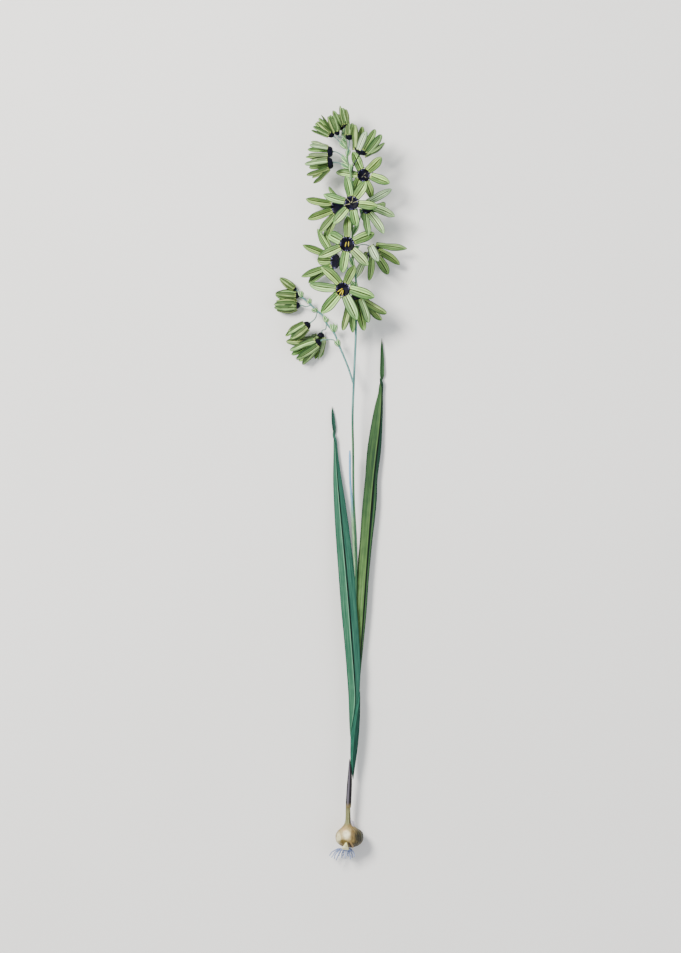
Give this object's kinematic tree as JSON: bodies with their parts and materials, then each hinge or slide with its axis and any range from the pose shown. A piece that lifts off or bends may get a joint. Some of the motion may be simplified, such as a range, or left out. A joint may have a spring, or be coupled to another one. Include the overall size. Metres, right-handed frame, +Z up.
{
  "type": "ixia plant",
  "caption": "Ixia lifted with its corm and roots and laid on its side: sword-shaped leaves and a wiry branched stem with pale green star flowers that have blue-black centres.",
  "frame": {"origin": "centre of the plant's bounding box, on the surface that the plant lies on", "axes": "+Y from the roots to the top of the flower spike, +X to the right as seen from above, +Z up from the surface"},
  "size_m": [0.0864, 0.4904, 0.0372],
  "materials": {
    "tepal": "soft waxy, pale green with a darker midrib and a blue-black base",
    "bract": "thin, papery, pale green",
    "stem": "smooth, bluish green",
    "leaf": "smooth with fine parallel veins",
    "sheath": "dry, fibrous, purple brown",
    "corm": "dry netted tunic, tan",
    "root": "matt, pale",
    "anther": "matt, pollen covered"
  },
  "bodies": {
    "root": {"bract_a": "bract", "bract_b": "bract", "bract_c": "bract", "bract_d": "bract", "bract_e": "bract", "bract_f": "bract", "bract_g": "bract", "bract_h": "bract", "bract_i": "bract", "bract_j": "bract", "bract_k": "bract", "bract_l": "bract", "bract_m": "bract", "bract_n": "bract", "bract_o": "bract", "bract_q": "bract", "bract_r": "bract", "bract_s": "bract", "bract_t": "bract", "bract_u": "bract", "bract_v": "bract", "bract_w": "bract", "bract_x": "bract", "bud_p": "tepal", "bud_q": "tepal", "corm": "corm", "flower_a": "tepal", "flower_b": "tepal", "flower_c": "tepal", "flower_d": "tepal", "flower_e": "tepal", "flower_f": "tepal", "flower_g": "tepal", "flower_h": "tepal", "flower_i": "tepal", "flower_j": "tepal", "flower_k": "tepal", "flower_l": "tepal", "flower_m": "tepal", "flower_n": "tepal", "flower_o": "tepal", "flower_r": "tepal", "flower_s": "tepal", "flower_t": "tepal", "flower_u": "tepal", "flower_v": "tepal", "flower_w": "tepal", "leaf_left": "leaf", "leaf_right": "leaf", "roots": "root", "sheath": "sheath", "shoot_bud": "root", "stamens_g": "anther", "stamens_h": "anther", "stamens_k": "anther", "stamens_m": "anther", "stamens_n": "anther", "stem": "stem", "stem_leaf": "leaf"}
  },
  "joints": []
}
